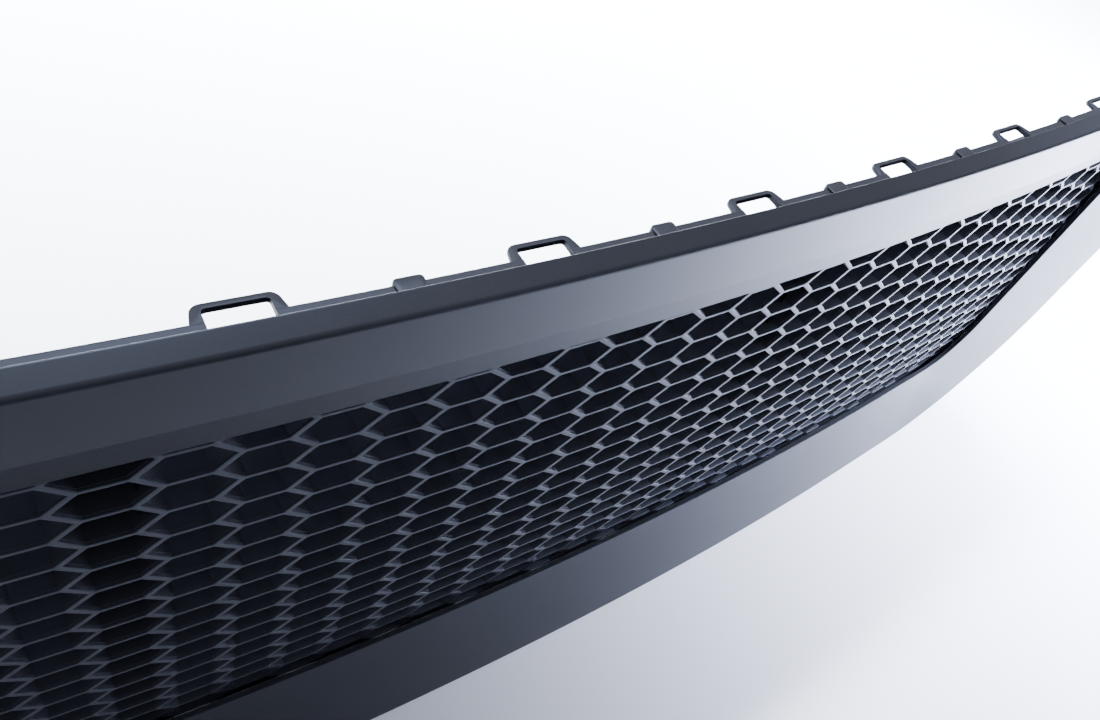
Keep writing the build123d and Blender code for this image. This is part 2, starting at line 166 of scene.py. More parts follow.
def block(builder, outline, frameAxes, start, end, edge=0.3 * mm):  # outline pushed along
    origin, across, up, along = frameAxes
    middle = Vector((sum(p.x for p in outline), sum(p.y for p in outline))) / len(outline)
    third = edge / 3  # both end edges are rounded in two facets
    steps = [(start, edge), (start + third, third), (start + edge, 0)]
    steps += [(end - edge, 0), (end - third, third), (end, edge)]
    rows = []
    for at, inset in steps:
        row = []
        for p in outline:
            away = p - middle
            inX = math.copysign(min(inset, abs(away.x)), away.x)
            inY = math.copysign(min(inset, abs(away.y)), away.y)
            shrunk = p - Vector((inX, inY))
            row.append(origin + across * shrunk.x + up * shrunk.y + along * at)
        rows.append(row)
    loftRows(builder, rows)


def bowPath(start, end, steps):
    path = []
    for k in range(steps + 1):
        foot, turn = bowAt(start + (end - start) * k / steps)
        path.append((foot, Vector((-math.sin(turn), math.cos(turn), 0)), Vector((0, 0, 1))))
    return path


def stationAxes(distance, depth=0.0, height=0.0):  # place, along the grille, back, up
    _, turn = bowAt(distance)
    along = Vector((math.cos(turn), math.sin(turn), 0))
    return placeOnBow(distance, depth, height), along, Vector((-along.y, along.x, 0)), Vector((0, 0, 1))


def addNode(tree, kind, links=None, **settings):
    node = tree.nodes.new(kind)
    for key, value in settings.items():
        setattr(node, key, value)
    for key, value in (links or {}).items():
        if isinstance(value, bpy.types.NodeSocket):
            tree.links.new(value, node.inputs[key])
        else:
            node.inputs[key].default_value = value
    return node


def compute(tree, operation, a, b=0.0):  # one Math node
    return addNode(tree, "ShaderNodeMath", {0: a, 1: b}, operation=operation).outputs[0]


def newTree(name, kind, inputs, outputs):
    tree = bpy.data.node_groups.new(name, kind)
    for socketName, socketKind, value in inputs:
        socketType = "NodeSocket" + socketKind
        socket = tree.interface.new_socket(socketName, in_out="INPUT", socket_type=socketType)
        if value is not None:
            socket.default_value = value
    for socketName, socketKind in outputs:
        tree.interface.new_socket(socketName, in_out="OUTPUT", socket_type="NodeSocket" + socketKind)
    return tree, tree.nodes.new("NodeGroupInput").outputs, tree.nodes.new("NodeGroupOutput").inputs


def buildGrainGroup():  # fine moulded grain, and slow changes of gloss
    tree, given, result = newTree(
        "mouldGrain",
        "ShaderNodeTree",
        [("Grain Scale", "Float", 1500.0), ("Flow Scale", "Float", 12.0), ("Roughness", "Float", 0.4),
         ("Spread", "Float", 0.1)],
        [("Height", "Float"), ("Roughness", "Float"), ("Flow", "Float")],
    )
    place = addNode(tree, "ShaderNodeTexCoord").outputs["Object"]
    grainSize, flowSize = given["Grain Scale"], given["Flow Scale"]
    grain = addNode(tree, "ShaderNodeTexNoise", {"Vector": place, "Scale": grainSize, "Detail": 3.0})
    pores = addNode(tree, "ShaderNodeTexVoronoi", {"Vector": place, "Scale": grainSize})
    flow = addNode(tree, "ShaderNodeTexNoise", {"Vector": place, "Scale": flowSize, "Detail": 4.0})
    dimples = compute(tree, "MULTIPLY", pores.outputs["Distance"], 0.35)
    height = compute(tree, "ADD", grain.outputs["Fac"], dimples)
    swing = compute(tree, "MULTIPLY", compute(tree, "SUBTRACT", flow.outputs["Fac"], 0.5), given["Spread"])
    fine = compute(tree, "MULTIPLY", compute(tree, "SUBTRACT", grain.outputs["Fac"], 0.5), given["Spread"])
    tree.links.new(height, result["Height"])
    rough = compute(tree, "ADD", given["Roughness"], compute(tree, "ADD", swing, fine))
    tree.links.new(rough, result["Roughness"])
    tree.links.new(flow.outputs["Fac"], result["Flow"])
    return tree


def buildDustGroup():  # a thin film on what faces up, in soft patches
    tree, given, result = newTree(
        "dustFilm",
        "ShaderNodeTree",
        [("Amount", "Float", 0.1), ("Patch Scale", "Float", 40.0)],
        [("Mask", "Float")],
    )
    place = addNode(tree, "ShaderNodeTexCoord").outputs["Object"]
    facing = addNode(tree, "ShaderNodeNewGeometry").outputs["Normal"]
    upward = addNode(tree, "ShaderNodeSeparateXYZ", {0: facing}).outputs["Z"]
    level = compute(tree, "POWER", compute(tree, "MAXIMUM", upward, 0.0), 2.0)
    patchSize = given["Patch Scale"]
    patches = addNode(tree, "ShaderNodeTexNoise", {"Vector": place, "Scale": patchSize, "Detail": 5.0})
    specks = addNode(tree, "ShaderNodeTexNoise", {"Vector": place, "Scale": 2200.0, "Detail": 1.0})
    broken = compute(tree, "MULTIPLY", patches.outputs["Fac"], specks.outputs["Fac"])
    mask = compute(tree, "MULTIPLY", compute(tree, "MULTIPLY", level, broken), given["Amount"])
    tree.links.new(mask, result["Mask"])
    return tree


grainGroup = buildGrainGroup()
dustGroup = buildDustGroup()
dustColour = (0.32, 0.31, 0.30, 1)


def buildMaterial(name, look):
    material = bpy.data.materials.new(name)
    material.use_nodes = True
    tree = material.node_tree
    shader = tree.nodes["Principled BSDF"]
    shader.inputs["IOR"].default_value = look.get("ior", 1.33)
    # a specular tint that is not white paints a colour into every reflection
    shader.inputs["Specular Tint"].default_value = (*look.get("paintedReflectionTint", (1, 1, 1)), 1)
    shader.inputs["Metallic"].default_value = look.get("metal", 0.0)
    grain = addNode(tree, "ShaderNodeGroup", node_tree=grainGroup)
    grain.inputs["Grain Scale"].default_value = look["grainScale"]
    grain.inputs["Flow Scale"].default_value = look["flowScale"]
    grain.inputs["Roughness"].default_value = look["roughness"]
    grain.inputs["Spread"].default_value = look["spread"]
    dust = addNode(tree, "ShaderNodeGroup", node_tree=dustGroup)
    dust.inputs["Amount"].default_value = look["dust"]
    tone = addNode(tree, "ShaderNodeMix", {"Factor": grain.outputs["Flow"]}, data_type="RGBA")
    tone.inputs[6].default_value = (*look["dark"], 1)
    tone.inputs[7].default_value = (*look["light"], 1)
    film = dust.outputs["Mask"]
    dusted = addNode(tree, "ShaderNodeMix", {"Factor": film, 6: tone.outputs[2]}, data_type="RGBA")
    dusted.inputs[7].default_value = dustColour
    bump = addNode(tree, "ShaderNodeBump", {"Height": grain.outputs["Height"], "Strength": look["bump"],
                                            "Distance": look["bumpDepth"]})
    tree.links.new(dusted.outputs[2], shader.inputs["Base Color"])
    tree.links.new(compute(tree, "ADD", grain.outputs["Roughness"], film), shader.inputs["Roughness"])
    tree.links.new(bump.outputs["Normal"], shader.inputs["Normal"])
    return material


# the blue specular tint here (also in meshLook and carrierLook) is a painted reflection colour: it stands
# in for the bluish light the satin surfaces reflect
satinLook = {
    "dark": (0.0145, 0.0152, 0.0185), "light": (0.0185, 0.0192, 0.0232), "paintedReflectionTint": (0.66, 0.76, 1.0),
    "roughness": 0.36, "spread": 0.10, "grainScale": 2600.0, "flowScale": 9.0, "bump": 0.10,
    "bumpDepth": 0.00004, "dust": 0.05,
}
meshLook = {
    **satinLook, "dark": (0.028, 0.029, 0.036), "light": (0.036, 0.038, 0.046), "roughness": 0.42,
    "flowScale": 30.0, "ior": 1.42,
}
carrierLook = {
    **satinLook, "dark": (0.017, 0.0175, 0.020), "roughness": 0.46, "bump": 0.2, "flowScale": 22.0,
}
screwLook = {
    "dark": (0.05, 0.05, 0.053), "light": (0.09, 0.088, 0.085), "metal": 1.0, "roughness": 0.38,
    "spread": 0.22, "grainScale": 900.0, "flowScale": 160.0, "bump": 0.12, "bumpDepth": 0.00005,
    "dust": 0.05,
}
zincLook = {
    "dark": (0.46, 0.45, 0.41), "light": (0.63, 0.61, 0.55), "metal": 1.0, "roughness": 0.34,
    "spread": 0.2, "grainScale": 1200.0, "flowScale": 120.0, "bump": 0.15, "bumpDepth": 0.00004,
    "dust": 0.04,
}
foamLook = {
    "dark": (0.020, 0.020, 0.021), "light": (0.045, 0.045, 0.046), "roughness": 0.88, "spread": 0.12,
    "grainScale": 1300.0, "flowScale": 300.0, "bump": 0.9, "bumpDepth": 0.00025, "dust": 0.12,
}
satinBlack = buildMaterial("satinBlack", satinLook)
meshBlack = buildMaterial("meshBlack", meshLook)
carrierBlack = buildMaterial("carrierBlack", carrierLook)
screwBlack = buildMaterial("screwBlack", screwLook)
zincSteel = buildMaterial("zincSteel", zincLook)
softFoam = buildMaterial("softFoam", foamLook)
print("materials built")


def dress(piece, material, slot, *nodes):  # material, body, record slot (not used) and the CAD nodes it stands for
    piece.data.materials.clear()
    piece.data.materials.append(material)
    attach(piece, body)
    if nodes:
        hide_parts(*nodes)
    return piece


def buildRepeatTree():  # one piece on every point, turned with the bow
    tree, given, result = newTree(
        "repeatOnBow",
        "GeometryNodeTree",
        [("Geometry", "Geometry", None), ("Piece", "Object", None), ("Material", "Material", None)],
        [("Geometry", "Geometry")],
    )
    piece = addNode(tree, "GeometryNodeObjectInfo", {"Object": given["Piece"]})
    turn = addNode(tree, "GeometryNodeInputNamedAttribute", {"Name": "turn"}, data_type="FLOAT")
    euler = addNode(tree, "ShaderNodeCombineXYZ", {"Z": turn.outputs["Attribute"]})
    rotation = addNode(tree, "FunctionNodeEulerToRotation", {0: euler.outputs[0]})
    spots = {"Points": given["Geometry"], "Rotation": rotation.outputs[0]}
    spots["Instance"] = piece.outputs["Geometry"]
    placed = addNode(tree, "GeometryNodeInstanceOnPoints", spots)
    real = addNode(tree, "GeometryNodeRealizeInstances", {0: placed.outputs[0]})
    paint = {"Geometry": real.outputs[0], "Material": given["Material"]}
    painted = addNode(tree, "GeometryNodeSetMaterial", paint)
    tree.links.new(painted.outputs[0], result["Geometry"])
    return tree


repeatTree = buildRepeatTree()


def runTree(holder, tree, values, smoothBelow=35):  # the evaluated tree as a plain mesh object
    modifier = holder.modifiers.new(tree.name, "NODES")
    modifier.node_group = tree
    for socket in tree.interface.items_tree:
        if socket.in_out == "INPUT" and socket.name in values:
            modifier[socket.identifier] = values[socket.name]
    return flatten(holder, smoothBelow)


def flatten(holder, smoothBelow=35):  # modifiers applied, on a fresh object
    bpy.context.view_layer.update()
    mesh = bpy.data.meshes.new_from_object(holder.evaluated_get(bpy.context.evaluated_depsgraph_get()))
    piece = bpy.data.objects.new(holder.name, mesh)
    name = holder.name
    bpy.data.objects.remove(holder)
    piece.name = name
    bpy.context.scene.collection.objects.link(piece)
    mesh.shade_smooth()
    mesh.set_sharp_from_angle(angle=math.radians(smoothBelow))
    return piece


def repeatPiece(name, piece, spots, material, depth=0.0):  # spots: (distance, height)
    holder = bpy.data.objects.new(name, bpy.data.meshes.new(name))
    bpy.context.scene.collection.objects.link(holder)
    holder.data.from_pydata([placeOnBow(d, depth, height) for d, height in spots], [], [])
    turns = holder.data.attributes.new("turn", "FLOAT", "POINT")
    turns.data.foreach_set("value", [bowAt(d)[1] for d, _ in spots])
    return runTree(holder, repeatTree, {"Piece": piece, "Material": material})


def cutOrJoin(piece, other, operation):  # boolean, then both are done with
    step = piece.modifiers.new(operation, "BOOLEAN")
    step.operation = operation
    step.object = other
    step.solver = "MANIFOLD"
    done = flatten(piece)
    bpy.data.objects.remove(other)
    clean = bmesh.new()
    clean.from_mesh(done.data)
    bmesh.ops.remove_doubles(clean, verts=clean.verts, dist=0.003 * mm)
    bmesh.ops.dissolve_degenerate(clean, edges=clean.edges, dist=0.003 * mm)
    bmesh.ops.recalc_face_normals(clean, faces=clean.faces)
    clean.to_mesh(done.data)
    clean.free()
    return done


def inMetres(sizes):  # sizes are written in millimetres
    return {key: value * mm for key, value in sizes.items()}


def points(*pairs):
    return [Vector(pair) for pair in pairs]


band = inMetres({
    "wall": 2.5, "openingBottom": 57.1, "openingTop": 223.3, "lipDepth": -13.6, "mainFoot": 236.0,
    "mainFootDepth": -16.8, "mainTop": 257.8, "mainTopDepth": -18.1, "topEdge": 260.1,
    "shoulderDepth": -12.2, "chinDepth": -25.6, "flangeDepth": 16.0, "cornerRadius": 87.0,
    "footRadius": 3.2, "creaseRadius": 1.4, "chinRadius": 1.6, "endInset": 1.2, "ribThickness": 1.8,
    "ribHeight": 30.0, "ribPitch": 45.0, "ribDepth": -12.0,
})
ribCount = 9
stackDepth = -10.2 * mm  # where the carriers lie
sheet = 1.8 * mm  # both carriers, the end plates and the stiffeners


def bandDepth(inset):  # skin of the lower band, by the distance in from its outer edge
    return band["chinDepth"] + (band["lipDepth"] - band["chinDepth"]) * inset / band["openingBottom"]


upperOutline = sheetOutline(
    points((band["shoulderDepth"], band["topEdge"]), (band["mainTopDepth"], band["mainTop"]),
           (band["mainFootDepth"], band["mainFoot"]), (band["lipDepth"], band["openingTop"])),
    [band["creaseRadius"], band["footRadius"]],
    band["wall"],
)
lowerOutline = sheetOutline(
    points((band["lipDepth"], band["openingBottom"]), (band["chinDepth"], 0), (band["flangeDepth"], 0)),
    [band["chinRadius"]],
    band["wall"],
)


def ringPath(bowSteps=90, cornerSteps=20):  # along the lower edge, round the corners and up both ends
    reach = bow["length"] - band["cornerRadius"]
    middle = bowPath(-reach, reach, bowSteps)
    half = []
    start, back, up = middle[-1]
    outward = back.cross(up)
    radius = band["cornerRadius"]
    for k in range(1, cornerSteps + 1):
        swing = math.pi / 2 * k / cornerSteps
        spot = start + outward * radius * math.sin(swing) + up * radius * (1 - math.cos(swing))
        half.append((spot, back, up * math.cos(swing) - outward * math.sin(swing)))
    half.append((start + outward * radius + up * band["topEdge"], back, -outward))
    flip = Vector((-1, 1, 1))
    return [(a * flip, b * flip, c * flip) for a, b, c in half[::-1]] + middle + half


upperReach = bow["length"] - band["endInset"]
upperBand = sweep("upperBand", upperOutline, bowPath(-upperReach, upperReach, 120))
lowerBand = sweep("lowerBand", lowerOutline, ringPath())

closures = bmesh.new()  # the tops of both ends
for side in (-1, 1):
    origin, along, back, up = stationAxes(side * bow["length"], height=band["topEdge"])
    closure = points((0, band["chinDepth"] + band["wall"] / 2), (-band["openingBottom"], band["lipDepth"]),
                     (-band["openingBottom"], band["lipDepth"] + band["wall"]),
                     (-band["wall"], band["flangeDepth"]), (0, band["flangeDepth"]))
    block(closures, roundOff(closure, [0.3 * mm] * 5), (origin, along * side, back, -up), 0, band["wall"])
endClosures = finishMesh(closures, "endClosures")

ribBlock = bmesh.new()  # web between the lower band and its flange
ribShape = points(
    (bandDepth(0) + band["wall"], band["wall"] / 2),
    (bandDepth(band["ribHeight"]) + band["wall"] / 2, band["ribHeight"]),
    (band["ribDepth"], band["ribHeight"] / 4),
    (band["ribDepth"], band["wall"] / 2),
)
yAxis, zAxis, xAxis = Vector((0, 1, 0)), Vector((0, 0, 1)), Vector((1, 0, 0))
block(ribBlock, roundOff(ribShape, [0.2 * mm] * 4, 2), (Vector(), yAxis, zAxis, xAxis),
      -band["ribThickness"] / 2, band["ribThickness"] / 2, 0.2 * mm)
oneRib = finishMesh(ribBlock, "oneRib")
ribSpots = [(d, 0) for d in mirrored([band["ribPitch"] * (i + 0.5) for i in range(ribCount)])]
surroundRibs = repeatPiece("surroundRibs", oneRib, ribSpots, satinBlack)
bpy.data.objects.remove(oneRib)
for piece in (upperBand, lowerBand, endClosures, surroundRibs):
    dress(piece, satinBlack, "surround_plastic", "surround")
print("surround built")

cell = inMetres({
    "height": 11.0, "columnPitch": 18.44, "slantRun": 6.67, "flatWall": 1.1, "slantedWall": 1.7,
    "firstWallDrop": 15.8, "thickness": 18.4, "edgeRadius": 0.24, "step": 0.10, "stepDepth": 1.0,
    "rim": 2.5, "crownRadius": 1173.0, "crownHeight": 68.0, "lipGap": 0.2, "flangeWidth": 12.0,
    "flangeThickness": 2.5, "flangeCorner": 14.0,
})
openingHalfWidth = bow["halfWidth"] - band["openingBottom"]
halfCell = (cell["columnPitch"] + cell["slantRun"]) / 2
crownFront = band["lipDepth"] + band["wall"] + cell["lipGap"]
crownMiddle = band["openingBottom"] + cell["crownHeight"]
meshBack = crownFront + cell["thickness"]
columnReach = math.floor((openingHalfWidth + halfCell) / cell["columnPitch"])


def columnLayout(parity):  # columns of one parity: how many, how many rows, and the middle height
    firstWall = band["openingTop"] - cell["firstWallDrop"]
    start = firstWall + cell["height"] * (0.5 if parity == 0 else 1.0)
    above = math.ceil((band["openingTop"] - start - cell["height"] / 2) / cell["height"])
    top = start + cell["height"] * above
    rows = math.ceil((top + cell["height"] / 2 - band["openingBottom"]) / cell["height"])
    columns = len([c for c in range(-columnReach, columnReach + 1) if c % 2 == parity])
    return columns, rows, top - (rows - 1) * cell["height"] / 2


evenColumns, evenRows, evenMiddle = columnLayout(0)
oddColumns, oddRows, oddMiddle = columnLayout(1)


def columnTop(column):
    rows, middle = (evenRows, evenMiddle) if column % 2 == 0 else (oddRows, oddMiddle)
    return middle + rows * cell["height"] / 2


def columnBottom(column):
    rows, middle = (evenRows, evenMiddle) if column % 2 == 0 else (oddRows, oddMiddle)
    return middle - rows * cell["height"] / 2


coreTop = max(columnTop(0), columnTop(1)) + cell["rim"]
coreBottom = min(columnBottom(0), columnBottom(1)) - cell["rim"]
coreHalfWidth = columnReach * cell["columnPitch"] + halfCell + cell["rim"]


def cellRing(inset):  # hexagon of one cell, its slanted sides set in in the walls' proportion
    halfHeight = cell["height"] / 2
    top = halfHeight - inset
    lean = math.hypot(halfHeight, cell["slantRun"]) / halfHeight
    slant = inset * cell["slantedWall"] / cell["flatWall"] * lean
    tip = halfCell - slant
    side = tip - cell["slantRun"] * top / halfHeight
    return [(tip, 0), (side, top), (-side, top), (-tip, 0), (-side, -top), (side, -top)]


def buildCell():  # half walls round one opening: front land, rounded edge, fine step, wall, back land
    half, r = cell["flatWall"] / 2, cell["edgeRadius"]
    levels = [(0, 0), (half - r, 0)]
    for turn in (math.pi / 6, math.pi / 3, math.pi / 2):
        levels.append((half - r + r * math.sin(turn), r - r * math.cos(turn)))
    levels += [(half, cell["stepDepth"]), (half + cell["step"], cell["stepDepth"] + cell["step"])]
    levels += [(half + cell["step"], cell["thickness"] - r), (half - r, cell["thickness"])]
    levels += [(0, cell["thickness"])]
    builder = bmesh.new()
    rings = [[builder.verts.new((x, depth, z)) for x, z in cellRing(inset)] for inset, depth in levels]
    for a, b in zip(rings, rings[1:]):
        for i in range(6):
            j = (i + 1) % 6
            builder.faces.new((a[i], a[j], b[j], b[i]))
    return finishMesh(builder, "cellBlank")


def buildRim():  # solid edge round the outermost cells, still flat
    upperLine, lowerLine = [], []
    for column in range(-columnReach, columnReach + 1):
        middle = column * cell["columnPitch"]
        side = halfCell - cell["slantRun"]
        upperLine += [(middle - side, columnTop(column)), (middle + side, columnTop(column))]
        lowerLine += [(middle - side, columnBottom(column)), (middle + side, columnBottom(column))]
    tipX = columnReach * cell["columnPitch"] + halfCell
    rows = evenRows if columnReach % 2 == 0 else oddRows
    tips = [columnTop(columnReach) - cell["height"] * (i + 0.5) for i in range(rows)]
    notchX = columnReach * cell["columnPitch"] + halfCell - cell["slantRun"]
    edgeLine = []
    for i, z in enumerate(tips):
        edgeLine.append((tipX, z))
        if i < rows - 1:
            edgeLine.append((notchX, z - cell["height"] / 2))
    builder = bmesh.new()
    for depth in (0, cell["thickness"]):
        strips = [
            ([(-tipX, tips[0])] + upperLine + [(tipX, tips[0])], lambda p: (p[0], coreTop)),
            ([(-tipX, tips[-1])] + lowerLine + [(tipX, tips[-1])], lambda p: (p[0], coreBottom)),
            (edgeLine, lambda p: (coreHalfWidth, p[1])),
            ([(-x, z) for x, z in edgeLine], lambda p: (-coreHalfWidth, p[1])),
        ]
        for line, outward in strips:
            for p, q in zip(line, line[1:]):
                corners = [p, q, outward(q), outward(p)]
                builder.faces.new([builder.verts.new((x, depth, z)) for x, z in corners])
        for sx in (-1, 1):
            for tip, edge in ((tips[0], coreTop), (tips[-1], coreBottom)):
                near, far = sx * tipX, sx * coreHalfWidth
                corners = [(near, tip), (far, tip), (far, edge), (near, edge)]
                builder.faces.new([builder.verts.new((x, depth, z)) for x, z in corners])
    bmesh.ops.remove_doubles(builder, verts=builder.verts, dist=0.002 * mm)
    outer = [e for e in builder.edges if e.is_boundary and all(
        abs(abs(v.co.x) - coreHalfWidth) < 1e-6 or v.co.z > coreTop - 1e-6 or v.co.z < coreBottom + 1e-6
        for v in e.verts) and e.verts[0].co.y == 0]
    for e in outer:
        front = [v.co.copy() for v in e.verts]
        rear = [Vector((p.x, cell["thickness"], p.z)) for p in front]
        builder.faces.new([builder.verts.new(p) for p in (front[0], front[1], rear[1], rear[0])])
    return finishMesh(builder, "honeycomb")


def bowedPlace(tree, given, position):  # moves a flat place onto the bow and the crown
    x, y, z = addNode(tree, "ShaderNodeSeparateXYZ", {0: position}).outputs
    above = compute(tree, "SUBTRACT", z, given["Crown Middle"])
    sag = compute(tree, "SQRT", compute(tree, "SUBTRACT", compute(tree, "MULTIPLY", given["Crown Radius"],
                  given["Crown Radius"]), compute(tree, "MULTIPLY", above, above)))
    fallBack = compute(tree, "SUBTRACT", given["Crown Radius"], sag)
    front = compute(tree, "ADD", given["Front Depth"], fallBack)
    share = compute(tree, "DIVIDE", y, given["Thickness"])
    run = compute(tree, "SUBTRACT", given["Back Depth"], front)
    depth = compute(tree, "ADD", front, compute(tree, "MULTIPLY", run, share))
    radius = compute(tree, "SUBTRACT", given["Bow Radius"], depth)
    away = compute(tree, "ABSOLUTE", x)
    bend = compute(tree, "MULTIPLY", radius, compute(tree, "SINE", given["Bow Turn"]))
    inArc = compute(tree, "MINIMUM", away, bend)
    fall = compute(tree, "SQRT", compute(tree, "SUBTRACT", compute(tree, "MULTIPLY", radius, radius),
                   compute(tree, "MULTIPLY", inArc, inArc)))
    past = compute(tree, "MULTIPLY", compute(tree, "SUBTRACT", away, inArc),
                   compute(tree, "TANGENT", given["Bow Turn"]))
    bowed = compute(tree, "ADD", compute(tree, "SUBTRACT", given["Bow Radius"], fall), past)
    return addNode(tree, "ShaderNodeCombineXYZ", {"X": x, "Y": bowed, "Z": z}).outputs[0]


def buildHoneycombTree():
    tree, given, result = newTree(
        "honeycombField",
        "GeometryNodeTree",
        [("Geometry", "Geometry", None), ("Cell", "Object", None), ("Column Pitch", "Float", 0.018),
         ("Cell Height", "Float", 0.011), ("Even Columns", "Int", 3), ("Even Rows", "Int", 3),
         ("Even Middle", "Float", 0.0), ("Odd Columns", "Int", 2), ("Odd Rows", "Int", 3),
         ("Odd Middle", "Float", 0.0), ("Thickness", "Float", 0.018), ("Front Depth", "Float", 0.0),
         ("Back Depth", "Float", 0.0), ("Crown Radius", "Float", 1.0), ("Crown Middle", "Float", 0.0),
         ("Bow Radius", "Float", 2.5), ("Bow Turn", "Float", 0.1), ("Material", "Material", None)],
        [("Geometry", "Geometry")],
    )
    blank = addNode(tree, "GeometryNodeObjectInfo", {"Object": given["Cell"]})
    join = tree.nodes.new("GeometryNodeJoinGeometry")
    for word in ("Even", "Odd"):
        columns, rows = given[word + " Columns"], given[word + " Rows"]
        width = compute(tree, "MULTIPLY", compute(tree, "SUBTRACT", columns, 1.0),
                        compute(tree, "MULTIPLY", given["Column Pitch"], 2.0))
        tall = compute(tree, "MULTIPLY", compute(tree, "SUBTRACT", rows, 1.0), given["Cell Height"])
        gridSizes = {"Size X": width, "Size Y": tall, "Vertices X": columns, "Vertices Y": rows}
        grid = addNode(tree, "GeometryNodeMeshGrid", gridSizes)
        lift = addNode(tree, "ShaderNodeCombineXYZ", {"Z": given[word + " Middle"]})
        upright = addNode(tree, "GeometryNodeTransform", {"Geometry": grid.outputs["Mesh"],
                                                          "Translation": lift.outputs[0]})
        upright.inputs["Rotation"].default_value = (math.pi / 2, 0, 0)
        cells = addNode(tree, "GeometryNodeInstanceOnPoints", {"Points": upright.outputs[0],
                                                               "Instance": blank.outputs["Geometry"]})
        tree.links.new(cells.outputs[0], join.inputs[0])
    tree.links.new(given["Geometry"], join.inputs[0])
    real = addNode(tree, "GeometryNodeRealizeInstances", {0: join.outputs[0]})
    seams = {"Geometry": real.outputs[0], "Distance": 0.00001}
    welded = addNode(tree, "GeometryNodeMergeByDistance", seams)
    place = addNode(tree, "GeometryNodeInputPosition").outputs[0]
    bent = addNode(tree, "GeometryNodeSetPosition", {"Geometry": welded.outputs[0],
                                                     "Position": bowedPlace(tree, given, place)})
    paint = {"Geometry": bent.outputs[0], "Material": given["Material"]}
    painted = addNode(tree, "GeometryNodeSetMaterial", paint)
    tree.links.new(painted.outputs[0], result["Geometry"])
    return tree


cellBlank = buildCell()
honeycomb = runTree(buildRim(), buildHoneycombTree(), {
    "Cell": cellBlank, "Column Pitch": cell["columnPitch"], "Cell Height": cell["height"],
    "Even Columns": evenColumns, "Even Rows": evenRows, "Even Middle": evenMiddle,
    "Odd Columns": oddColumns, "Odd Rows": oddRows, "Odd Middle": oddMiddle,
    "Thickness": cell["thickness"], "Front Depth": crownFront, "Back Depth": meshBack,
    "Crown Radius": cell["crownRadius"], "Crown Middle": crownMiddle,
    "Bow Radius": bow["radius"], "Bow Turn": bow["turn"], "Material": meshBlack,
})
bpy.data.objects.remove(cellBlank)
weld = bmesh.new()  # the cells' halves of each wall meet here
weld.from_mesh(honeycomb.data)
bmesh.ops.remove_doubles(weld, verts=weld.verts, dist=0.004 * mm)
bmesh.ops.recalc_face_normals(weld, faces=weld.faces)
print("honeycomb:", len(weld.verts), "points,", len(weld.faces), "faces,",
      len([e for e in weld.edges if not e.is_manifold]), "open edges")
weld.to_mesh(honeycomb.data)
weld.free()


def distanceAt(x):  # distance along the bow to a given X
    bend = bow["radius"] * math.sin(bow["turn"])
    if abs(x) <= bend:
        return bow["radius"] * math.asin(x / bow["radius"])
    return math.copysign(bow["arcLength"] + (abs(x) - bend) / math.cos(bow["turn"]), x)


def buildFlange():  # thin plate round the honeycomb, behind the surround
    width, corner = cell["flangeWidth"], cell["flangeCorner"]
    front = stackDepth + sheet
    outerX, outerTop, outerBottom = coreHalfWidth + width, coreTop + width, coreBottom - width
    inside = 0.4 * mm  # runs a little into the rim
    turnSteps = [corner * (1 - math.cos(math.pi / 2 * i / 8)) for i in range(9)]
    xs = [-outerX + t for t in turnSteps] + [-coreHalfWidth + inside]
    xs += [-coreHalfWidth + inside + (2 * (coreHalfWidth - inside)) * i / 90 for i in range(1, 91)]
    xs += [outerX - t for t in turnSteps[::-1]]
    xs = sorted(set(round(x, 7) for x in xs))

    def inset(x):  # how far the rounded corner takes the edge in
        past = max(abs(x) - (outerX - corner), 0)
        return corner - math.sqrt(max(corner * corner - past * past, 0))

    builder = bmesh.new()
    for a, b in zip(xs, xs[1:]):
        if abs(a + b) / 2 > coreHalfWidth - inside:
            spans = [(outerBottom, coreBottom + inside), (coreBottom + inside, coreTop - inside),
                     (coreTop - inside, outerTop)]
        else:
            spans = [(outerBottom, coreBottom + inside), (coreTop - inside, outerTop)]
        for low, high in spans:
            corners = []
            for x, z in ((a, low), (b, low), (b, high), (a, high)):
                cut = inset(x)
                corners.append((x, min(max(z, outerBottom + cut), outerTop - cut)))
            verts = [builder.verts.new((x, 0, z)) for x, z in corners]
            builder.faces.new(verts)
    bmesh.ops.remove_doubles(builder, verts=builder.verts, dist=0.002 * mm)
    bmesh.ops.dissolve_degenerate(builder, edges=builder.edges, dist=0.001 * mm)
    skin = list(builder.faces)
    grown = bmesh.ops.extrude_face_region(builder, geom=skin)
    for vert in (g for g in grown["geom"] if isinstance(g, bmesh.types.BMVert)):
        vert.co.y = cell["flangeThickness"]
    for vert in builder.verts:
        vert.co = placeOnBow(distanceAt(vert.co.x), front + vert.co.y, vert.co.z)
    return finishMesh(builder, "meshFlange")


meshFlange = buildFlange()
for piece in (honeycomb, meshFlange):
    dress(piece, meshBlack, "mesh_plastic", "mesh_insert")

carrier = inMetres({
    "bend": 2.2, "crease": 0.6, "overlap": 1.0, "shelfDrop": 4.1, "shelfRear": -7.0,
    "shelfFront": -14.7, "joggleDrop": 8.5, "joggleRise": 3.0, "endGap": 3.0,
})
shelfTop = band["topEdge"] - carrier["shelfDrop"]
joggleTop = shelfTop - carrier["joggleDrop"]
shelfOutline = sheetOutline(
    points(
        (carrier["shelfRear"], shelfTop),
        (carrier["shelfFront"], shelfTop),
        (carrier["shelfFront"], joggleTop),
        (stackDepth, joggleTop - carrier["joggleRise"]),
        (stackDepth, coreTop - carrier["overlap"]),
    ),
    [carrier["bend"], carrier["bend"], carrier["crease"]],
    sheet,
)
carrierReach = distanceAt(openingHalfWidth - carrier["endGap"])
upperCarrier = sweep("upperCarrier", shelfOutline, bowPath(-carrierReach, carrierReach, 120))

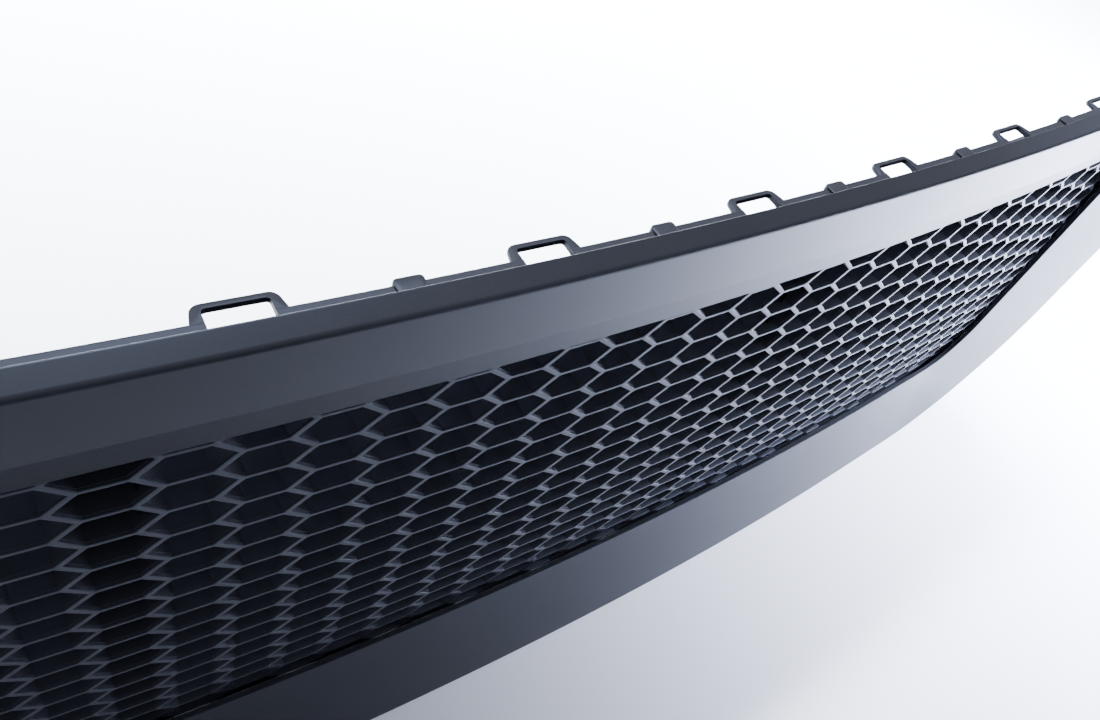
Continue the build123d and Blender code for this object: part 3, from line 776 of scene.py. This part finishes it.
loop = inMetres({
    "base": 20.0, "tip": 17.6, "rear": -1.9, "bar": 1.6, "hole": 14.0, "corner": 2.4, "edge": 0.35,
    "foot": 0.8, "holeCorner": 0.9, "padWidth": 7.5, "padLength": 5.0, "padRise": 0.8,
    "padOverhang": 1.2, "padCorner": 1.0, "padEdge": 0.2,
})
loopStations = [d * mm for d in (29, 102, 174, 238, 308, 380, 440)]
padStations = [(a + b) / 2 for a, b in zip(loopStations, loopStations[1:])]


def plateBlank(name, outline, thickness, edge):  # flat plate at the origin, top at height 0, edges rounded
    blank = bmesh.new()
    block(blank, outline, (Vector(), xAxis, yAxis, -zAxis), 0, thickness, edge)
    return finishMesh(blank, name)


halfBase, halfTip = loop["base"] / 2, loop["tip"] / 2
innerEdge = carrier["shelfRear"] - sheet
loopOutline = roundOff(
    points((-halfBase, innerEdge), (halfBase, innerEdge), (halfBase, carrier["shelfRear"]),
           (halfTip, loop["rear"]), (-halfTip, loop["rear"]), (-halfBase, carrier["shelfRear"])),
    [0.1 * mm, 0.1 * mm, loop["foot"], loop["corner"], loop["corner"], loop["foot"]],
    6,
)
holeFront, holeRear = carrier["shelfFront"] + sheet, loop["rear"] - loop["bar"]
holeMiddle = (0, (holeFront + holeRear) / 2)
holeOutline = rectangle(loop["hole"], holeRear - holeFront, loop["holeCorner"], holeMiddle)
padMiddle = (0, carrier["shelfRear"] + loop["padOverhang"] - loop["padLength"] / 2)
padOutline = rectangle(loop["padWidth"], loop["padLength"], loop["padCorner"], padMiddle)
sunk = 0.4 * mm
shy = 0.12 * mm  # joined faces never lie in one plane
padThickness = loop["padRise"] + sheet - sunk
for name, outline, thickness, edge, stations, rise, operation in (
    ("loops", loopOutline, sheet - 2 * shy, loop["edge"], loopStations, -shy, "UNION"),
    ("pads", padOutline, padThickness, loop["padEdge"], padStations, loop["padRise"], "UNION"),
    ("holes", holeOutline, sheet + 4 * mm, 0.0, loopStations, 2 * mm, "DIFFERENCE"),
):
    blank = plateBlank(name + "Blank", outline, thickness, edge)
    tools = repeatPiece(name, blank, [(d, shelfTop + rise) for d in mirrored(stations)], carrierBlack)
    bpy.data.objects.remove(blank)
    upperCarrier = cutOrJoin(upperCarrier, tools, operation)
dress(upperCarrier, carrierBlack, "carrier_plastic", "upper_carrier")

lowerReach = distanceAt(bow["halfWidth"] - band["cornerRadius"] - carrier["endGap"])
lowerSheet = sheetOutline(
    points((stackDepth, coreBottom - carrier["overlap"]), (stackDepth, band["wall"]),
           (band["flangeDepth"], band["wall"])),
    [carrier["bend"]],
    sheet,
)
lowerCarrier = sweep("lowerCarrier", lowerSheet, bowPath(-lowerReach, lowerReach, 100))
dress(lowerCarrier, carrierBlack, "carrier_plastic", "lower_carrier")
print("carriers built")

screw = inMetres({
    "radius": 2.0, "length": 9.0, "tip": 1.6, "tipRadius": 0.6, "ridge": 0.35, "head": 4.0,
    "headHeight": 2.4, "crown": 1.3, "rimEdge": 0.15, "recess": 4.4, "recessWidth": 0.9,
    "recessDepth": 1.2, "rowOffset": 6.8, "endMargin": 28.0,
})
upperRow = coreTop + screw["rowOffset"]
lowerRow = coreBottom - screw["rowOffset"]
endRow = bow["length"] - (bow["halfWidth"] - coreHalfWidth - screw["rowOffset"])
flangeBack = stackDepth + sheet + cell["flangeThickness"]
endBottom, endTop = band["cornerRadius"] + screw["endMargin"], upperRow - screw["endMargin"]
endHeights = (endBottom, (endBottom + endTop) / 2, endTop)
stiffenerStations = mirrored([0, 230 * mm])
screwRows = {
    "upper_screws": [(d, upperRow) for d in mirrored([v * mm for v in (65, 138, 206, 273, 344, 410)])],
    "lower_screws": [(d, lowerRow) for d in mirrored([v * mm for v in (60, 150, 270, 350, 415)])],
    "left_end_screws": [(-endRow, z) for z in endHeights],
    "right_end_screws": [(endRow, z) for z in endHeights],
    "stiffener_screws": [(d, z) for d in stiffenerStations for z in (upperRow, lowerRow)],
}


def buildScrew():  # pan head with a cross recess, threaded shank, head towards +Y
    builder = bmesh.new()
    profile = [Vector((0, -screw["length"])), Vector((screw["tipRadius"], -screw["length"]))]
    turns = 6
    ridge, rimEdge = screw["ridge"], screw["rimEdge"]
    root = screw["radius"] - ridge
    threaded = screw["length"] - screw["tip"] - 0.6 * mm
    for i in range(turns):
        along = -screw["length"] + screw["tip"] + threaded * (i + 0.5) / turns
        profile += points((root, along - ridge), (screw["radius"], along), (root, along + ridge))
    profile += points((root, 0), (screw["head"] - rimEdge, 0), (screw["head"], rimEdge))
    dome = screw["headHeight"] - screw["crown"]
    for i in range(7):
        swing = math.pi / 2 * i / 6
        across = screw["head"] * (0.62 + 0.38 * math.cos(swing))
        profile.append(Vector((across, dome + screw["crown"] * math.sin(swing))))
    profile.append(Vector((0, screw["headHeight"])))
    spin(builder, profile, Vector(), yAxis, 28)
    body = finishMesh(builder, "screwBlank")
    far, near = screw["recess"] / 2, screw["recessWidth"] / 2
    arms = [(far, -near), (far, near), (near, near), (near, far), (-near, far), (-near, near), (-far, near),
            (-far, -near), (-near, -near), (-near, -far), (near, -far), (near, -near)]
    cross = bmesh.new()
    block(cross, roundOff(points(*arms), [0.1 * mm] * 12, 2), (Vector(), xAxis, zAxis, yAxis),
          screw["headHeight"] - screw["recessDepth"], screw["headHeight"] + 1 * mm, 0.0)
    body = cutOrJoin(body, finishMesh(cross, "cross"), "DIFFERENCE")
    return body


screwBlank = buildScrew()
for node, spots in screwRows.items():
    depth = flangeBack + (sheet if node == "stiffener_screws" else 0)
    rows = repeatPiece(node.replace("_", "") + "Row", screwBlank, spots, screwBlack, depth)
    dress(rows, screwBlack, "screw_steel", node)
bpy.data.objects.remove(screwBlank)
print("screws built")

stiffener = inMetres({"width": 14.0, "gap": 0.3, "step": 0.7})
stripOutline = sheetOutline(
    points((flangeBack, coreTop + cell["flangeWidth"]), (flangeBack, coreTop + stiffener["step"]),
           (meshBack + stiffener["gap"], coreTop + stiffener["step"]),
           (meshBack + stiffener["gap"], coreBottom - stiffener["step"]),
           (flangeBack, coreBottom - stiffener["step"]), (flangeBack, coreBottom - cell["flangeWidth"])),
    [carrier["bend"], carrier["crease"], carrier["crease"], carrier["bend"]],
    sheet,
)
for distance, side in zip(stiffenerStations, ("centre", "left", "right")):
    origin, along, back, up = stationAxes(distance)
    half = stiffener["width"] / 2
    path = [(origin + along * t, back, up) for t in (-half, -half + 0.5 * mm, half - 0.5 * mm, half)]
    strip = sweep(side + "Strip", stripOutline, path)
    dress(strip, carrierBlack, "carrier_plastic", side + "_stiffener")

end = inMetres({
    "plateInset": 13.2, "plateGap": 0.5, "plateClearance": 10.0, "earHeight": 50.0,
    "earMiddle": 140.0, "earDepth": 22.0, "earInset": 15.0, "earOverhang": 10.0, "earHole": 4.5,
    "fixingInset": 1.0, "fixingOffset": 11.0, "pinRadius": 3.0, "pinLength": 12.0, "pinChamfer": 1.0,
    "nutSheet": 1.0, "nutWidth": 16.0, "nutLength": 22.0, "nutSlot": 3.3, "nutThread": 2.5,
    "threadDepth": 0.4, "threadPitch": 1.0, "nutCollar": 4.0, "collarLength": 4.0,
    "washerRadius": 7.0, "washerThickness": 3.0, "washerPlay": 1.0,
})
threadRidges = 5
plateWidth = bow["halfWidth"] - coreHalfWidth - end["plateGap"] - end["plateInset"]
plateBottom = band["cornerRadius"] + end["plateClearance"]
plateTop = upperRow - end["plateClearance"]
earBottom = end["earMiddle"] - end["earHeight"] / 2


def rodAlong(name, radius, place, axis, start, stop):  # plain round cutter or pin
    builder = bmesh.new()
    spin(builder, points((0, start), (radius, start), (radius, stop), (0, stop)), place, axis, 40)
    return finishMesh(builder, name)


def span(low, high, nearDepth, farDepth, edge=0.35 * mm):  # rectangle from its limits, as along and depth
    return rectangle(high - low, farDepth - nearDepth, edge, ((low + high) / 2, (nearDepth + farDepth) / 2))


for side, word in ((-1, "left"), (1, "right")):
    origin, along, back, up = stationAxes(side * bow["length"])
    outward = along * side
    fixing = origin - outward * end["fixingInset"]
    nutPlace = fixing + up * (end["earMiddle"] + end["fixingOffset"])
    pinPlace = fixing + up * (end["earMiddle"] - end["fixingOffset"])
    frameAxes = (origin, outward, back, up)

    plate = bmesh.new()
    block(plate, span(-end["plateInset"] - plateWidth, -end["plateInset"], stackDepth, stackDepth + sheet),
          frameAxes, plateBottom, plateTop)
    endCarrier = finishMesh(plate, word + "EndCarrier")
    for limits in (
        (-end["earInset"], -end["earInset"] + sheet, stackDepth + shy, end["earDepth"] - shy),
        (-end["earInset"] + shy, end["earOverhang"], end["earDepth"] - sheet, end["earDepth"]),
    ):
        ear = bmesh.new()
        block(ear, span(*limits), frameAxes, earBottom, earBottom + end["earHeight"])
        endCarrier = cutOrJoin(endCarrier, finishMesh(ear, "ear"), "UNION")
    holeStart, holeStop = end["earDepth"] - 2 * sheet, end["earDepth"] + sheet
    hole = rodAlong("earHole", end["earHole"], nutPlace, back, holeStart, holeStop)
    endCarrier = cutOrJoin(endCarrier, hole, "DIFFERENCE")
    pin = bmesh.new()
    pinRadius, chamfer = end["pinRadius"], end["pinChamfer"]
    root, tip = end["earDepth"] - sheet / 2, end["earDepth"] + end["pinLength"]
    pinProfile = points(
        (0, root), (pinRadius, root), (pinRadius, tip - chamfer - 0.15 * mm),
        (pinRadius - 0.06 * mm, tip - chamfer + 0.02 * mm), (pinRadius - chamfer, tip), (0, tip))
    spin(pin, pinProfile, pinPlace, back, 40)
    endCarrier = cutOrJoin(endCarrier, finishMesh(pin, "pin"), "UNION")
    dress(endCarrier, carrierBlack, "carrier_plastic", word + "_end_carrier")

    clip = bmesh.new()  # U of spring steel over the ear
    t, far = end["nutSheet"], end["earOverhang"] + end["nutSheet"]
    near = far - end["nutLength"] - t
    front, rear = end["earDepth"] - sheet - t, end["earDepth"] + t
    uCorners = points((near, front), (far, front), (far, rear), (near, rear), (near, rear - t),
                      (far - t, rear - t), (far - t, front + t), (near, front + t))
    uShape = roundOff(uCorners, [r * mm for r in (0.2, 1.4, 1.4, 0.2, 0.2, 0.4, 0.4, 0.2)])
    low = nutPlace - up * end["nutWidth"] / 2
    base = origin + up * (low - origin).dot(up)
    rows = [[base + outward * p.x + back * p.y + up * h for p in uShape] for h in (0, end["nutWidth"])]
    loftRows(clip, rows)
    uNut = finishMesh(clip, word + "UNut")
    collar = bmesh.new()  # threaded collar on the rear leaf
    top, outer = rear + end["collarLength"], end["nutCollar"]
    collarProfile = points((0, rear - t / 2), (outer, rear - t / 2), (outer, top - 0.4 * mm),
                           (outer - 0.12 * mm, top - 0.12 * mm), (outer - 0.4 * mm, top), (0, top))
    spin(collar, collarProfile, nutPlace, back, 36)
    uNut = cutOrJoin(uNut, finishMesh(collar, "collar"), "UNION")
    bore = bmesh.new()
    minor, major, pitch = end["nutThread"], end["nutThread"] + end["threadDepth"], end["threadPitch"]
    boreProfile = points((0, end["earDepth"] - 0.5 * mm), (minor, end["earDepth"] - 0.5 * mm))
    for i in range(threadRidges):
        at = end["earDepth"] + pitch * (i + 0.2)
        boreProfile += points((minor, at), (major, at + 0.4 * pitch), (minor, at + 0.8 * pitch))
    boreProfile += points((minor, top + 1 * mm), (0, top + 1 * mm))
    spin(bore, boreProfile, nutPlace, back, 36)
    uNut = cutOrJoin(uNut, finishMesh(bore, "bore"), "DIFFERENCE")
    slot = rodAlong("slot", end["nutSlot"], nutPlace, back, front - 1 * mm, front + t + 0.4 * mm)
    uNut = cutOrJoin(uNut, slot, "DIFFERENCE")
    dress(uNut, zincSteel, "nut_steel", word + "_u_nut")

    washer = bmesh.new()
    inner, outer = end["pinRadius"] + end["washerPlay"], end["washerRadius"]
    thickness = end["washerThickness"]
    middle = ((inner + outer) / 2, end["earDepth"] + thickness / 2)
    spin(washer, rectangle(outer - inner, thickness, 0.5 * mm, middle), pinPlace, back, 40)
    dress(finishMesh(washer, word + "PinWasher"), softFoam, "foam", word + "_pin_washer")
print("ends built")

sleeve = inMetres({"bore": 3.3, "radius": 5.0, "rim": 7.5, "rimHeight": 1.0})
sleeveTop = band["wall"] + sheet + sleeve["rimHeight"]
rimFoot = sleeveTop - sleeve["rimHeight"]
sleeveProfile = roundOff(
    points((sleeve["bore"], 0), (sleeve["radius"], 0), (sleeve["radius"], rimFoot),
           (sleeve["rim"], rimFoot), (sleeve["rim"], sleeveTop), (sleeve["bore"], sleeveTop)),
    [0.25 * mm, 0.2 * mm, 0.05 * mm, 0.2 * mm, 0.25 * mm, 0.35 * mm])
sleeveBuilder = bmesh.new()
spin(sleeveBuilder, sleeveProfile, Vector(), zAxis, 36)
sleeveBlank = finishMesh(sleeveBuilder, "sleeveBlank")
sleeves = repeatPiece("sleeves", sleeveBlank, [(d, 0) for d in mirrored([0, 200 * mm])], zincSteel)
bpy.data.objects.remove(sleeveBlank)
dress(sleeves, zincSteel, "sleeve_steel", "lower_sleeves")

foam = inMetres({"width": 6.0, "height": 5.0, "edgeGap": 1.5})
foamReach = distanceAt(bow["halfWidth"] - band["cornerRadius"] - 2 * carrier["endGap"])
foamOutline = rectangle(foam["width"], foam["height"], 1.1 * mm,
                        (band["flangeDepth"] - foam["edgeGap"] - foam["width"] / 2,
                         band["wall"] + sheet + foam["height"] / 2))
foamStrip = sweep("foamStrip", foamOutline, bowPath(-foamReach, foamReach, 90))
dress(foamStrip, softFoam, "foam", "lower_foam")
print("sleeves and foam built")

floorBuilder = bmesh.new()
bmesh.ops.create_grid(floorBuilder, x_segments=8, y_segments=8, size=30.0)
bmesh.ops.translate(floorBuilder, verts=floorBuilder.verts, vec=(0, 0, -0.3 * mm))
floor = finishMesh(floorBuilder, "floor")
paleFloor = bpy.data.materials.new("paleFloor")
paleFloor.use_nodes = True
paleFloor.node_tree.nodes["Principled BSDF"].inputs["Base Color"].default_value = (0.86, 0.87, 0.90, 1)
paleFloor.node_tree.nodes["Principled BSDF"].inputs["Roughness"].default_value = 0.8
floor.data.materials.append(paleFloor)

world = bpy.data.worlds.new("softRoom")
bpy.context.scene.world = world
world.use_nodes = True
world.node_tree.nodes["Background"].inputs["Color"].default_value = (0.80, 0.83, 1.0, 1)
world.node_tree.nodes["Background"].inputs["Strength"].default_value = 0.48


def softLight(name, place, target, size, power, colour, spread):  # spread in degrees narrows the beam
    light = bpy.data.lights.new(name, "AREA")
    light.shape = "RECTANGLE"
    light.size, light.size_y = size
    light.energy = power
    light.color = colour
    light.spread = math.radians(spread)
    lamp = bpy.data.objects.new(name, light)
    lamp.location = place
    lamp.rotation_euler = (Vector(target) - Vector(place)).to_track_quat("-Z", "Y").to_euler()
    bpy.context.scene.collection.objects.link(lamp)


softLight("topLight", (0.5, 0.98, 2.2), (0.5, 0.98, 0.0), (1.6, 0.7), 210, (0.86, 0.90, 1.0), 55)
softLight("sideLight", (1.25, -0.2, 0.9), (0.98, -0.06, 0.0), (0.5, 0.5), 60, (0.74, 0.80, 1.0), 60)

view = {"place": Vector((-0.0117, -0.1294, 0.4025)), "azimuth": -46.12, "elevation": 46.96, "roll": 23.57,
        "lens": 30.41}
swing, tilt = math.radians(view["azimuth"]), math.radians(view["elevation"])
towards = -Vector((math.sin(swing) * math.cos(tilt), -math.cos(swing) * math.cos(tilt), math.sin(tilt)))
level = Vector((math.cos(swing), math.sin(swing), 0))
sideways = Matrix.Rotation(-math.radians(view["roll"]), 3, towards) @ level
upwards = sideways.cross(towards)
camera = bpy.data.objects.new("camera", bpy.data.cameras.new("camera"))
camera.matrix_world = Matrix((sideways, upwards, -towards)).transposed().to_4x4()
camera.location = view["place"]
camera.data.lens = view["lens"]
camera.data.sensor_width = 36.0
camera.data.clip_start = 0.01
bpy.context.scene.collection.objects.link(camera)
bpy.context.scene.camera = camera
print("stage set")
